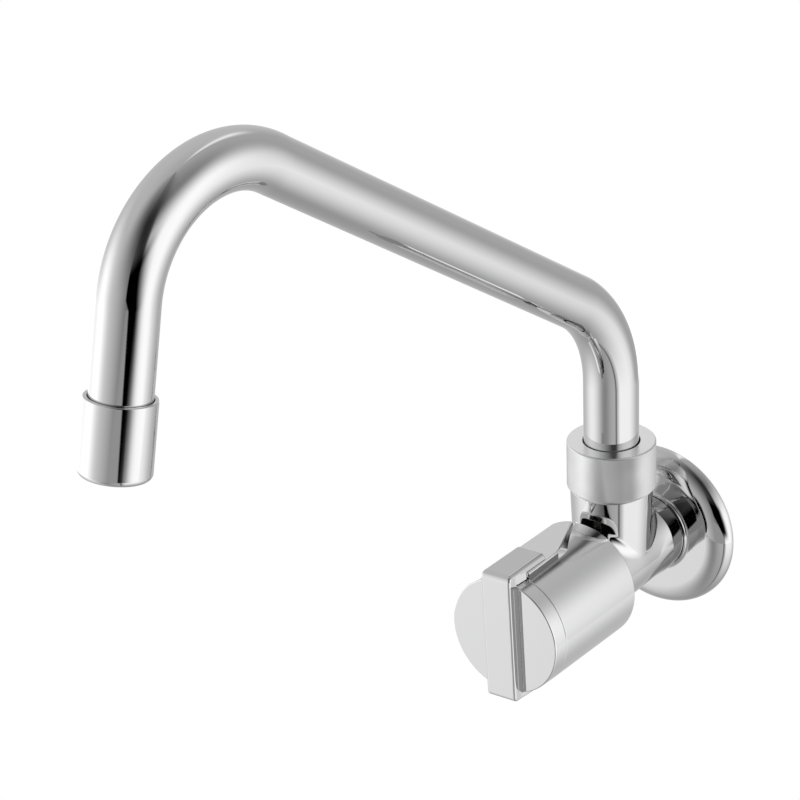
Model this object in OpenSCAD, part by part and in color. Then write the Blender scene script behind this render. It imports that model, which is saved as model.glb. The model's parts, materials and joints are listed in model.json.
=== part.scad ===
// Wall-mounted sink tap with a swivelling bent-tube spout and a quarter-turn blade handle.
// Millimetres. The origin is on the inlet axis in the wall plane.
// +X is right seen from the front, -Y is out from the wall, +Z is up.

// Which sub-part to draw

/* [Spout] */
// outside diameter of the bent tube
tube_d = 19.05; // [18:0.05:19.6]
// wall thickness of the bent tube
tube_wall = 1.0; // [0.8:0.05:1.4]
// straight tube above the collar before the first bend
riser_h = 22.3; // [10:0.1:60]
// centreline radius of the first bend
low_bend_r = 43.8; // [36:0.1:60]
// turn of the first bend away from upright
low_bend_a = 56.2; // [40:0.1:70]
// straight sloping arm between the bends
arm_l = 162.6; // [90:0.1:240]
// centreline radius of the second bend
top_bend_r = 37.9; // [30:0.1:50]
// turn of the second bend down to the outlet
top_bend_a = 112.5; // [90:0.1:125]
// straight tube after the second bend, down to the nozzle
drop_l = 28; // [15:0.1:60]
// how far the spout is stored swung to the left
swing_a = 6; // [0:0.5:30]

/* [Nozzle] */
// outside diameter of the nozzle shell
nozzle_d = 22; // [21.8:0.1:24]
// length of the nozzle shell
nozzle_l = 23.9; // [22:0.1:32]
// rounding of the nozzle's lower edge
nozzle_round = 1.8; // [0.5:0.1:2.2]

/* [Wall flange] */
// outside diameter of the wall flange
flange_d = 60; // [50:0.5:80]
// how far the flange stands out from the wall
flange_t = 6.4; // [5.6:0.1:9]
// sheet thickness of the flange
flange_wall = 1.4; // [0.8:0.1:1.8]
// width of the flange's rounded shoulder
flange_shoulder = 7.9; // [6:0.1:8.6]
// open gap between the flange's hole and the neck
flange_gap = 0.3; // [0.2:0.1:2]
// rounding of the flange's hole
flange_lip = 0.7; // [0.2:0.1:0.7]

/* [Body] */
// diameter of the neck at the wall
neck_wall_d = 26.4; // [25:0.1:28]
// diameter of the neck at the tower
neck_d = 28.8; // [27.8:0.1:32]
// distance from the wall to the spout axis
tower_out = 32.1; // [30:0.1:38]
// diameter of the upright tower at the inlet axis
tower_low_d = 26.4; // [26:0.1:28]
// diameter of the upright tower just under the collar
tower_top_d = 28.7; // [28:0.1:29.4]
// height of the collar's lower edge above the inlet axis
collar_z = 28.5; // [26:0.1:40]
// diameter of the collar
collar_d = 30.8; // [30:0.1:36]
// height of the collar
collar_h = 17.7; // [17:0.1:24]
// chamfer on the collar's lower edge
collar_chamfer = 1.1; // [0.2:0.1:1.4]

/* [Handle] */
// diameter of the handle barrel at its rear edge
knob_rear_d = 43.1; // [42:0.1:48]
// diameter of the handle barrel at the cap
knob_front_d = 42.3; // [42:0.1:48]
// diameter of the cap's front face
knob_face_d = 41.4; // [40:0.1:42]
// distance from the wall to the barrel's rear edge
knob_rear = 49.8; // [49:0.1:54]
// distance from the wall to the cap's front face
knob_front = 97.4; // [96:0.1:104]
// thickness of the front cap
cap_t = 6.2; // [5.2:0.1:6.6]
// width of the trim blade
blade_w = 11.6; // [10:0.1:12.4]
// how far the trim blade stands out of the cap
blade_t = 3.5; // [2.2:0.1:5]
// height of the trim above the handle axis
trim_top = 24.8; // [24:0.1:27]
// depth of the trim below the handle axis
trim_bottom = 22.6; // [22.2:0.1:25]
// how far the trim's upper arm reaches back from the blade's face
trim_top_l = 20.8; // [14:0.1:24]
// how far the trim's lower arm reaches back from the blade's face
trim_low_l = 18.6; // [12:0.1:24]
// rounding of the trim where it folds over
trim_round = 2.2; // [0.6:0.1:2.6]
// rounding of the blade's upright front edges
blade_round = 1.2; // [0.4:0.1:2]
// how much the trim's arms narrow from the barrel to their outer face, each side
trim_draft = 1.1; // [0.2:0.1:1.6]
// how far the blade and the fin lean to the left
lean_a = 2; // [0:0.1:4]
// width of the fin on top of the barrel
fin_w = 13.6; // [13:0.1:15]
// height of the fin above the handle axis
fin_top = 22.8; // [22.4:0.1:23.6]
// distance from the wall to the tail of the fin
fin_tail = 52.6; // [51:0.1:62]
// length of the slanted cut on the fin's right side
fin_cut_l = 20.6; // [6:0.1:24]
// how far the slanted cut leans out from upright
fin_cut_a = 34; // [0:1:45]

/* [Connections] */
// diameter over the thread of the inlet tail
tail_d = 20.96; // [20.5:0.01:22]
// how far the inlet tail reaches into the wall
tail_l = 15; // [12:0.5:40]
// diameter of the waterway in the inlet tail
water_d = 14; // [11:0.5:15]

/* [Hidden] */
$fn = 64;
e = 0.01;
// running gap between a turning shaft and its hole
run = 0.05;
// the tube's straights overlap its bends by this much
lap = 0.4;
hair = 0.01;
tube_r = tube_d / 2;
tube_ri = tube_r - tube_wall;
neck_r = neck_d / 2;
neck_wall_r = neck_wall_d / 2;
tail_r = tail_d / 2;
water_r = water_d / 2;
// valve chamber along the inlet axis, counted out from the wall
tail_shoulder = 1;
neck_to = tower_out + 4.6;
nose_to = tower_out + 12.1;
// radius of the neck where it passes the flange's front
neck_front_r = neck_wall_r + (neck_r - neck_wall_r) * (flange_t - tail_shoulder) / (neck_to - tail_shoulder);
seat_from = 22;
seat_to = 26;
seat_r = 4.6;
chamber_r = 9.3;
hub_r = 13;
hub_end = knob_rear + 2.6;
// pieces inside the valve, counted out from the wall
seal_t = 3.5;
disc_t = 3;
disc_fixed_from = seat_to + seal_t;
disc_moving_from = disc_fixed_from + disc_t + 0.05;
foot_from = disc_moving_from + disc_t + 0.1;
foot_t = 3.2;
washer_from = foot_from + foot_t + 0.1;
washer_t = 1.2;
housing_wall_from = washer_from + washer_t + 0.3;
thread_from = housing_wall_from + 3;
hex_t = 4;
stem_end = hub_end + hex_t + 6;
spindle_r = 4;
// handle along the inlet axis, counted out from the wall
seam = knob_front - cap_t;
web_to = seam - 2.3;
web_from = web_to - 4.9;
insert_l = 14;
insert_from = web_from - insert_l;
spindle_end = web_from - 1.8;
head_from = seam + 0.8;
blade_face = knob_front + blade_t;
knob_ri = 18.6;
cap_spigot_r = 18.4;
cap_room_r = max(knob_front_d, knob_face_d) / 2 + 0.05;
// where the slanted cut meets the fin's tail
fin_tip = -0.11 * fin_w;
// tongue of the spindle and tapped hole in its end
tongue_w = 10;
tapped_l = 10;
// the flange's shoulder is two arcs that meet at 45 degrees
flange_r = flange_d / 2;
flange_rim = 0.5;
flange_rise = flange_t - flange_rim;
half = sqrt(0.5);
arc_out = (half * flange_shoulder - (1 - half) * flange_rise) / (2 * half - 1);
arc_rim = (half * flange_rise - (1 - half) * flange_shoulder) / (2 * half - 1);
// swivel on top of the tower
thread_r = 13.2;
tower_top = collar_z + 11.5;
collar_top = collar_z + collar_h;
socket_r = tube_r + 0.525;
pivot_r = socket_r - run;
pivot_low = collar_z - 10;
socket_low = pivot_low - 3;
slip_t = 0.8;
slip_ri = tube_r + 0.4;
slip_ro = 12.0;
shoulder_from = tower_top + slip_t + run;
shoulder_to = shoulder_from + 1.6;
shoulder_r = 11.7;
lip_z = shoulder_to + run + slip_t;
groove_r = pivot_r - 1.7;
groove_h = 2.6;
groove_z1 = pivot_low + 3;
groove_z2 = pivot_low + 10;
// spout path in its own upright plane: s is out from the tower axis
bend1_z = collar_top + riser_h;
arm_s = low_bend_r * (1 - cos(low_bend_a));
arm_z = bend1_z + low_bend_r * sin(low_bend_a);
bend2_in_s = arm_s + arm_l * sin(low_bend_a);
bend2_in_z = arm_z + arm_l * cos(low_bend_a);
bend2_s = bend2_in_s + top_bend_r * cos(low_bend_a);
bend2_z = bend2_in_z - top_bend_r * sin(low_bend_a);
out_a = low_bend_a + top_bend_a;
drop_s = bend2_s - top_bend_r * cos(out_a);
drop_z = bend2_z + top_bend_r * sin(out_a);
// nozzle stack, counted down from the top of the shell
shell_r = nozzle_d / 2;
shell_lip_r = tube_r + 0.25;
shell_thread_r = shell_r - 0.85;
tube_in_shell = 2.2;
nipple_to = tube_in_shell + 8;
nwasher_to = nipple_to + 1.5;
insert_to = nozzle_l - 2.2;

// Turns the drawing so that its upright axis points out from the wall
module fwd(d = 0) {
  translate([0, -d, 0])
    rotate([90, 0, 0])
      children();
}

// Puts the drawing on the tower axis
module on_tower() {
  translate([0, -tower_out, 0])
    children();
}

// Puts the drawing in the spout's plane, with +X out along the spout
module in_spout() {
  on_tower()
    rotate([0, 0, -90 - swing_a])
      children();
}

// Puts the drawing at the top of the nozzle, with +Z the way the water leaves
module at_nozzle() {
  in_spout()
    translate([drop_s, 0, drop_z])
      rotate([0, out_a, 0])
        translate([0, 0, drop_l])
          children();
}

module ring(ri, ro, z0, z1) {
  translate([0, 0, z0])
    difference() {
      cylinder(r = ro, h = z1 - z0);
      translate([0, 0, -1])
        cylinder(r = ri, h = z1 - z0 + 2);
    }
}

module o_ring(r, w, z) {
  translate([0, 0, z])
    rotate_extrude()
      translate([r, 0])
        circle(r = w);
}

module body_casting() {
  color([0.85, 0.86, 0.88])
    difference() {
      union() {
        // inlet tail with a chamfered end
        fwd(-tail_l)
          cylinder(r1 = tail_r - 1, r2 = tail_r, h = 1);
        fwd(-tail_l + 1)
          cylinder(r = tail_r, h = tail_l + tail_shoulder);
        // neck and the hub that carries the valve
        fwd(tail_shoulder)
          cylinder(r1 = neck_wall_r, r2 = neck_r, h = neck_to - tail_shoulder);
        fwd(neck_to)
          cylinder(r = neck_r, h = nose_to - neck_to);
        fwd(nose_to)
          cylinder(r1 = neck_r, r2 = neck_r - 1.4, h = 1.4);
        fwd(tower_out)
          cylinder(r = hub_r, h = hub_end - tower_out);
        // tower with its threaded top
        on_tower()
          cylinder(r1 = tower_low_d / 2, r2 = tower_top_d / 2, h = collar_z);
        on_tower()
          translate([0, 0, collar_z - 1])
            cylinder(r = thread_r, h = tower_top - collar_z + 1);
      }
      // waterway from the tail to the valve seat
      fwd(-tail_l - 1)
        cylinder(r = water_r, h = seat_from + tail_l + 1);
      fwd(seat_from - 1)
        cylinder(r = seat_r, h = seat_to - seat_from + 2);
      // valve chamber
      fwd(seat_to)
        cylinder(r = chamber_r, h = hub_end - seat_to + 1);
      // way up the tower and the socket for the spout pivot
      on_tower()
        cylinder(r = 6, h = socket_low + 1);
      on_tower()
        translate([0, 0, socket_low])
          cylinder(r = socket_r, h = tower_top - socket_low + 1);
    }
}

// Half section of the flange's cup: x out from the axis, y out from the wall
module cup_half(inset) {
  flat_r = flange_r - flange_shoulder;
  low = inset > 0 ? -1 : 0;
  r1 = arc_out - inset;
  r2 = arc_rim - inset;
  c1 = [flat_r, flange_t - arc_out];
  c2 = [flange_r - arc_rim, flange_rim];
  union() {
    polygon([
      [0, low], [flange_r - inset, low], [flange_r - inset, flange_rim],
      [c2[0] + half * r2, c2[1] + half * r2], [flat_r, flange_t - inset], [0, flange_t - inset]
    ]);
    intersection() {
      translate(c1)
        circle(r = r1);
      polygon([c1, c1 + [20, 20], c1 + [0, 20]]);
    }
    intersection() {
      translate(c2)
        circle(r = r2);
      polygon([c2, c2 + [20, 0], c2 + [20, 20]]);
    }
  }
}

module wall_flange() {
  hole_r = neck_front_r + flange_gap;
  color([0.87, 0.88, 0.9])
    fwd()
      rotate_extrude()
        union() {
          difference() {
            cup_half(0);
            cup_half(flange_wall);
            translate([-1, -2])
              square([hole_r + flange_lip + 1, flange_t + 4]);
          }
          // rounded edge of the hole
          translate([hole_r, flange_t - flange_wall])
            square([flange_lip, flange_wall - flange_lip]);
          intersection() {
            translate([hole_r + flange_lip, flange_t - flange_lip])
              circle(r = flange_lip);
            translate([hole_r - 1, flange_t - flange_lip])
              square([flange_lip + 1, flange_lip + 1]);
          }
        }
}

module flange_ring() {
  to = flange_t - flange_wall;
  color([0.1, 0.1, 0.1])
    fwd()
      ring(neck_front_r, neck_front_r + flange_gap + 2, to - 2, to);
}

module spout_nut() {
  r = collar_d / 2;
  color([0.87, 0.88, 0.9])
    on_tower()
      difference() {
        union() {
          translate([0, 0, collar_z])
            cylinder(r1 = r - collar_chamfer, r2 = r, h = collar_chamfer);
          translate([0, 0, collar_z + collar_chamfer])
            cylinder(r = r, h = collar_h - collar_chamfer - 0.5);
          translate([0, 0, collar_top - 0.5])
            cylinder(r1 = r, r2 = r - 0.5, h = 0.5);
        }
        translate([0, 0, collar_z - 1])
          cylinder(r = thread_r + 0.1, h = tower_top - collar_z + 1);
        translate([0, 0, tower_top - e])
          cylinder(r = slip_ro + 0.2, h = lip_z - tower_top + e);
        translate([0, 0, lip_z - 1])
          cylinder(r = tube_r + 0.35, h = collar_top - lip_z + 2);
      }
}

module lower_slip_ring() {
  color([0.9, 0.9, 0.86])
    on_tower()
      ring(socket_r + 0.3, slip_ro, tower_top, tower_top + slip_t);
}

module upper_slip_ring() {
  color([0.9, 0.9, 0.86])
    on_tower()
      ring(slip_ri, slip_ro, lip_z - slip_t, lip_z);
}

module valve_housing() {
  color([0.8, 0.66, 0.36])
    difference() {
      union() {
        fwd(disc_fixed_from)
          cylinder(r = 8.7, h = thread_from - disc_fixed_from + 1);
        fwd(thread_from)
          cylinder(r = chamber_r - 0.1, h = hub_end - thread_from + 1);
        // hexagon that bears on the hub
        fwd(hub_end)
          cylinder(r = 13.4, h = hex_t, $fn = 6);
        fwd(hub_end)
          cylinder(r = 7.5, h = stem_end - hub_end);
      }
      // room for the discs
      fwd(disc_fixed_from - 1)
        cylinder(r = 7.6, h = housing_wall_from - disc_fixed_from + 1);
      // hole for the spindle
      fwd(disc_fixed_from)
        cylinder(r = spindle_r + run, h = stem_end - disc_fixed_from + 1);
      // groove for the housing's seal
      fwd()
        ring(chamber_r - 1.3, chamber_r + 1, thread_from - 2.4, thread_from - 0.1);
      // side windows that let the water out to the tower
      translate([-12, -foot_from - foot_t, -3.5])
        cube([24, foot_t + disc_t, 7]);
      translate([-3.5, -foot_from - foot_t, -12])
        cube([7, foot_t + disc_t, 24]);
    }
}

module housing_ring() {
  color([0.1, 0.1, 0.1])
    fwd()
      ring(chamber_r - 1.25, chamber_r - 0.05, thread_from - 2.3, thread_from - 0.2);
}

module seat_seal() {
  color([0.12, 0.12, 0.12])
    fwd()
      ring(seat_r, 7.3, seat_to, seat_to + seal_t);
}

module disc_ports() {
  for (s = [-1, 1])
    translate([s * 4, 0, -1])
      cylinder(r = 2.2, h = disc_t + 2);
}

module fixed_disc() {
  color([0.95, 0.94, 0.9])
    fwd(disc_fixed_from)
      difference() {
        cylinder(r = 7.5, h = disc_t);
        disc_ports();
      }
}

module moving_disc() {
  color([0.95, 0.94, 0.9])
    fwd(disc_moving_from)
      difference() {
        cylinder(r = 7.2, h = disc_t);
        rotate([0, 0, 90])
          disc_ports();
        // slot that takes the spindle's tongue
        translate([-tongue_w / 2 - 0.1, -1.6, disc_t - 1.2])
          cube([tongue_w + 0.2, 3.2, 2]);
      }
}

module spindle() {
  color([0.8, 0.66, 0.36])
    difference() {
      union() {
        fwd(foot_from)
          cylinder(r = 7.1, h = foot_t);
        fwd(foot_from)
          cylinder(r = spindle_r, h = spindle_end - foot_from);
        // tongue that drives the moving disc
        translate([-tongue_w / 2, -foot_from - 1, -1.5])
          cube([tongue_w, 2, 3]);
      }
      // groove for the seal
      fwd()
        ring(spindle_r - 1.2, spindle_r + 1, hub_end - 2.8, hub_end - 1.4);
      // groove for the clip
      fwd()
        ring(spindle_r - 0.7, spindle_r + 1, stem_end + 0.3, stem_end + 1.3);
      // flats for the handle insert
      for (s = [-1, 1])
        translate([s * (spindle_r - 0.6) + (s < 0 ? -2 : 0), -spindle_end - 1, -5])
          cube([2, spindle_end - insert_from - 1, 10]);
      // tapped hole for the handle screw
      fwd(spindle_end - tapped_l)
        cylinder(r = 1.65, h = tapped_l + 1);
    }
}

module spindle_ring() {
  color([0.1, 0.1, 0.1])
    fwd()
      o_ring(spindle_r - 0.6, 0.58, hub_end - 2.1);
}

module spindle_clip() {
  color([0.7, 0.71, 0.73])
    fwd(stem_end + 0.35)
      difference() {
        cylinder(r = 6, h = 0.9);
        translate([0, 0, -1])
          cylinder(r = spindle_r - 0.65, h = 3);
        // mouth that lets the clip on
        translate([-2, -8, -1])
          cube([4, 8, 3]);
      }
}

module thrust_washer() {
  color([0.9, 0.9, 0.86])
    fwd()
      ring(spindle_r + 0.15, 7.1, washer_from, washer_from + washer_t);
}

// Plan of the fin: x across, y out from the wall
module fin_plan() {
  h = fin_w / 2;
  nose_r = 2.4;
  union() {
    polygon([
      [h, seam], [h, fin_tail], [fin_tip - 0.9, fin_tail], [-h + nose_r + 0.9, fin_tail + 1.1],
      [-h, fin_tail + 4.6], [-h, seam]
    ]);
    // rounded left corner of the tail
    translate([-h + nose_r, fin_tail + 4.6])
      circle(r = nose_r);
  }
}

// Fin on top of the barrel, drawn in plan and raised, with a slanted cut that leans out to the right
module fin() {
  from = knob_ri + 0.4;
  rotate([0, -lean_a, 0])
    difference() {
      translate([0, 0, from])
        linear_extrude(height = fin_top - from)
          mirror([0, 1])
            fin_plan();
      translate([fin_w / 2, -fin_tail - fin_cut_l, fin_top])
        rotate([0, 0, atan((fin_w / 2 - fin_tip) / fin_cut_l)])
          rotate([0, -fin_cut_a, 0])
            translate([0, -20, -20])
              cube([30, 60, 40]);
    }
}

module handle_barrel() {
  rr = knob_rear_d / 2;
  rf = knob_front_d / 2;
  color([0.87, 0.88, 0.9])
    difference() {
      union() {
        fwd(knob_rear)
          cylinder(r1 = rr - 0.5, r2 = rr, h = 0.5);
        fwd(knob_rear + 0.5)
          cylinder(r1 = rr, r2 = rf, h = seam - knob_rear - 0.8);
        fwd(seam - 0.3)
          cylinder(r1 = rf, r2 = rf - 0.3, h = 0.3);
        fin();
      }
      // open rear around the valve stem
      difference() {
        fwd(knob_rear - 1)
          cylinder(r = knob_ri, h = web_from - knob_rear + 1);
        fwd(insert_from)
          cylinder(r = 9.6, h = web_from - insert_from + 1);
      }
      // socket for the insert and hole for the screw
      fwd(insert_from - 1)
        cylinder(r = 7.1, h = web_from - insert_from + 1);
      fwd(web_from - 1)
        cylinder(r = 2.3, h = 20);
      // recess for the cap's spigot
      fwd(web_to)
        cylinder(r = cap_spigot_r + 0.1, h = seam - web_to + 1);
    }
}

module handle_cap() {
  rf = knob_front_d / 2;
  rc = knob_face_d / 2;
  color([0.88, 0.89, 0.91])
    difference() {
      union() {
        fwd(web_to)
          cylinder(r = cap_spigot_r, h = seam - web_to + 1);
        fwd(seam)
          cylinder(r1 = rf - 0.3, r2 = rf, h = 0.3);
        fwd(seam + 0.3)
          cylinder(r1 = rf, r2 = rc + 0.3, h = cap_t - 0.7);
        fwd(knob_front - 0.4)
          cylinder(r1 = rc + 0.3, r2 = rc, h = 0.4);
      }
      fwd(web_to - 1)
        cylinder(r = 2.3, h = 20);
      // pocket for the screw head
      fwd(head_from)
        cylinder(r = 4.3, h = 20);
    }
}

// Side view of the trim: x out from the wall, y up
module trim_side() {
  top_back = blade_face - trim_top_l;
  low_back = blade_face - trim_low_l;
  rd = trim_round;
  union() {
    polygon([
      [knob_front, -trim_bottom + rd], [knob_front, fin_top - 1.8], [seam, fin_top - 0.6], [seam, fin_top],
      [top_back, fin_top], [top_back, trim_top], [blade_face - rd, trim_top], [blade_face, trim_top - rd],
      [blade_face, -trim_bottom + rd], [blade_face - rd, -trim_bottom], [low_back, -trim_bottom],
      [low_back, -trim_bottom + rd]
    ]);
    translate([blade_face - rd, trim_top - rd])
      circle(r = rd);
    translate([blade_face - rd, -trim_bottom + rd])
      circle(r = rd);
  }
}

// Plan of the trim: x across, y out from the wall, a little wider at the rear
module trim_plan() {
  h = blade_w / 2;
  rear = h + trim_draft / 2;
  rd = blade_round;
  union() {
    polygon([
      [-rear, seam - 20], [rear, seam - 20], [rear, seam], [h, knob_front], [h, blade_face - rd],
      [h - rd, blade_face], [-h + rd, blade_face], [-h, blade_face - rd], [-h, knob_front], [-rear, seam]
    ]);
    for (s = [-1, 1])
      translate([s * (h - rd), blade_face - rd])
        circle(r = rd);
  }
}

// Front view of the trim: x across, y up, narrower at both ends
module trim_front() {
  rear = blade_w / 2 + trim_draft / 2;
  polygon([
    [-rear, -knob_face_d / 2], [-rear + trim_draft, -trim_bottom], [rear - trim_draft, -trim_bottom],
    [rear, -knob_face_d / 2], [rear, fin_top], [rear - trim_draft, trim_top],
    [-rear + trim_draft, trim_top], [-rear, fin_top]
  ]);
}

module handle_trim() {
  color([0.9, 0.9, 0.92])
    rotate([0, -lean_a, 0])
      difference() {
        union() {
          intersection() {
            translate([-blade_w, 0, 0])
              rotate([90, 0, 90])
                linear_extrude(height = 2 * blade_w)
                  mirror([1, 0])
                    trim_side();
            translate([0, 0, -trim_bottom - 1])
              linear_extrude(height = trim_top + trim_bottom + 2)
                mirror([0, 1])
                  trim_plan();
            fwd(seam - 20)
              linear_extrude(height = blade_face - seam + 21)
                trim_front();
          }
          // peg that snaps over the screw head
          fwd(knob_front - 2)
            cylinder(r = 4.1, h = 2 + blade_t / 2);
        }
        // room for the barrel and cap under the arms
        fwd(knob_rear)
          cylinder(r = max(knob_rear_d / 2 + 0.05, cap_room_r), h = knob_front - knob_rear - 2);
        fwd(knob_front - 2.1)
          difference() {
            cylinder(r = cap_room_r, h = 2.1);
            translate([0, 0, -1])
              cylinder(r = 4.1, h = 5);
          }
      }
}

module handle_screw() {
  color([0.7, 0.71, 0.73])
    difference() {
      union() {
        fwd(spindle_end - 8)
          cylinder(r = 1.6, h = head_from - spindle_end + 9);
        fwd(head_from)
          cylinder(r = 3.6, h = 2.6);
      }
      fwd(head_from + 1)
        cylinder(r = 1.5, h = 3, $fn = 6);
    }
}

module handle_insert() {
  color([0.92, 0.92, 0.9])
    difference() {
      fwd(insert_from)
        cylinder(r = 7.05, h = web_from - insert_from);
      difference() {
        fwd(insert_from - 1)
          cylinder(r = spindle_r + 0.05, h = spindle_end - insert_from + 1.2);
        // flats that take the turn
        for (s = [-1, 1])
          translate([s * (spindle_r - 0.5) + (s < 0 ? -2 : 0), -web_from, -5])
            cube([2, web_from - insert_from - 4, 10]);
      }
      fwd(insert_from)
        cylinder(r = 2.3, h = 20);
    }
}

// One bend of the tube in the spout's plane, a hair thinner than the straights that overlap its ends
module bend(r, from, turn, hole) {
  rotate([90, 0, 0])
    rotate([0, 180, 0])
      rotate([0, 0, from])
        rotate_extrude(angle = turn)
          translate([r, 0])
            circle(r = (hole ? tube_ri : tube_r) - hair);
}

module spout_path(hole) {
  r = hole ? tube_ri : tube_r;
  extra = hole ? 1 : 0;
  translate([0, 0, shoulder_to - extra])
    cylinder(r = r, h = bend1_z - shoulder_to + extra + lap);
  translate([low_bend_r, 0, bend1_z])
    bend(low_bend_r, 0, low_bend_a, hole);
  translate([arm_s, 0, arm_z])
    rotate([0, low_bend_a, 0])
      translate([0, 0, -lap])
        cylinder(r = r, h = arm_l + 2 * lap);
  translate([bend2_s, 0, bend2_z])
    bend(top_bend_r, low_bend_a, top_bend_a, hole);
  translate([drop_s, 0, drop_z])
    rotate([0, out_a, 0])
      translate([0, 0, -lap])
        cylinder(r = r, h = drop_l + tube_in_shell + extra + lap);
}

module spout_tube() {
  color([0.86, 0.87, 0.89])
    in_spout()
      difference() {
        union()
          spout_path(false);
        union()
          spout_path(true);
      }
}

module spout_pivot() {
  color([0.8, 0.66, 0.36])
    on_tower()
      difference() {
        union() {
          translate([0, 0, pivot_low])
            cylinder(r = pivot_r, h = shoulder_from - pivot_low + 0.5);
          translate([0, 0, shoulder_from])
            cylinder(r = shoulder_r, h = shoulder_to - shoulder_from);
          // spigot brazed into the tube
          translate([0, 0, shoulder_to - 0.5])
            cylinder(r = tube_ri - 0.02, h = 9);
        }
        translate([0, 0, pivot_low - 1])
          cylinder(r = 6.2, h = 60);
        ring(groove_r, pivot_r + 1, groove_z1, groove_z1 + groove_h);
        ring(groove_r, pivot_r + 1, groove_z2, groove_z2 + groove_h);
      }
}

module pivot_rings() {
  w = (pivot_r - groove_r) / 2 - 0.02;
  color([0.1, 0.1, 0.1])
    on_tower() {
      o_ring((pivot_r + groove_r) / 2, w, groove_z1 + groove_h / 2);
      o_ring((pivot_r + groove_r) / 2, w, groove_z2 + groove_h / 2);
    }
}

module outlet_nipple() {
  color([0.8, 0.66, 0.36])
    at_nozzle()
      difference() {
        union() {
          // spigot brazed into the tube
          translate([0, 0, tube_in_shell - 9])
            cylinder(r = tube_ri - 0.02, h = 10);
          translate([0, 0, tube_in_shell])
            cylinder(r = shell_thread_r - 0.05, h = nipple_to - tube_in_shell);
        }
        translate([0, 0, tube_in_shell - 10])
          cylinder(r = 6.6, h = 40);
      }
}

module nozzle_shell() {
  rd = nozzle_round;
  color([0.87, 0.88, 0.9])
    at_nozzle()
      difference() {
        union() {
          cylinder(r1 = shell_r - 0.3, r2 = shell_r, h = 0.3);
          translate([0, 0, 0.3])
            cylinder(r = shell_r, h = nozzle_l - rd - 0.3);
          translate([0, 0, nozzle_l - rd])
            cylinder(r = shell_r - rd, h = rd);
          translate([0, 0, nozzle_l - rd])
            rotate_extrude()
              translate([shell_r - rd, 0])
                circle(r = rd);
        }
        translate([0, 0, -1])
          cylinder(r = shell_lip_r, h = nozzle_l);
        translate([0, 0, tube_in_shell - 0.2])
          cylinder(r = shell_thread_r, h = insert_to - tube_in_shell + 0.2);
        translate([0, 0, nozzle_l - 5])
          cylinder(r = shell_r - 2.7, h = 10);
      }
}

module nozzle_washer() {
  color([0.1, 0.1, 0.1])
    at_nozzle()
      ring(6.8, shell_thread_r - 0.2, nipple_to, nwasher_to);
}

module aerator_insert() {
  color([0.9, 0.9, 0.92])
    at_nozzle()
      difference() {
        translate([0, 0, nwasher_to])
          cylinder(r = shell_thread_r - 0.1, h = insert_to - nwasher_to);
        translate([0, 0, nwasher_to - 1])
          cylinder(r = 7.6, h = 2.4);
        translate([0, 0, nwasher_to + 3.4])
          cylinder(r = 7.6, h = 30);
        // ring of jets through the plate
        for (i = [0:7])
          rotate([0, 0, i * 45])
            translate([4.6, 0, nwasher_to])
              cylinder(r = 0.9, h = 8);
      }
}

module mesh_screen(z) {
  translate([0, 0, z])
    difference() {
      cylinder(r = 7.5, h = 0.6);
      for (x = [-3:3])
        for (y = [-3:3])
          if (x * x + y * y < 10)
            translate([x * 1.9 - 0.65, y * 1.9 - 0.65, -1])
              cube([1.3, 1.3, 3]);
    }
}

module aerator_screens() {
  color([0.6, 0.61, 0.63])
    at_nozzle() {
      mesh_screen(insert_to - 1.4);
      mesh_screen(insert_to - 3);
    }
}

body_casting();
wall_flange();
flange_ring();
spout_nut();
lower_slip_ring();
upper_slip_ring();
valve_housing();
housing_ring();
seat_seal();
fixed_disc();
handle_barrel();
handle_cap();
handle_trim();
handle_screw();
handle_insert();
spindle();
spindle_ring();
spindle_clip();
thrust_washer();
moving_disc();
spout_tube();
spout_pivot();
pivot_rings();
outlet_nipple();
nozzle_shell();
nozzle_washer();
aerator_insert();
aerator_screens();
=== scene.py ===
# Wall-mounted sink tap: looks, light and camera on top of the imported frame
import json
import math

import bpy
import numpy as np
from mathutils import Matrix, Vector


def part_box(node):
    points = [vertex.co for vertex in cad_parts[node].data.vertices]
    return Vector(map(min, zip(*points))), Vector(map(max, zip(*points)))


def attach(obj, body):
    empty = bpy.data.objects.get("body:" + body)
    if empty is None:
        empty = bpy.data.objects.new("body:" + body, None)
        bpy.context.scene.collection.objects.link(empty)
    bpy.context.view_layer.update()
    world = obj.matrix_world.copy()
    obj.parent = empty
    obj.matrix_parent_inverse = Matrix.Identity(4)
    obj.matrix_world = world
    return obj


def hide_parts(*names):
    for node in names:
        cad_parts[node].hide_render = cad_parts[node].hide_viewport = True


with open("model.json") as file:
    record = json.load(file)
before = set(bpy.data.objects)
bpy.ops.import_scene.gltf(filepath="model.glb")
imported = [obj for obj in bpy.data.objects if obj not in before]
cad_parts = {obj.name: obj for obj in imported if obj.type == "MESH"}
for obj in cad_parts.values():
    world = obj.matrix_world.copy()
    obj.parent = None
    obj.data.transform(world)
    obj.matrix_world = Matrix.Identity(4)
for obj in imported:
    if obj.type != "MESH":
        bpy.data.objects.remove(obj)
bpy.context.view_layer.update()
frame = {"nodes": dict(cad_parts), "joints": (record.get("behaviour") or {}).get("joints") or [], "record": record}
scene = bpy.context.scene
scene.view_settings.view_transform = "Standard"
MM = 0.001

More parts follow.
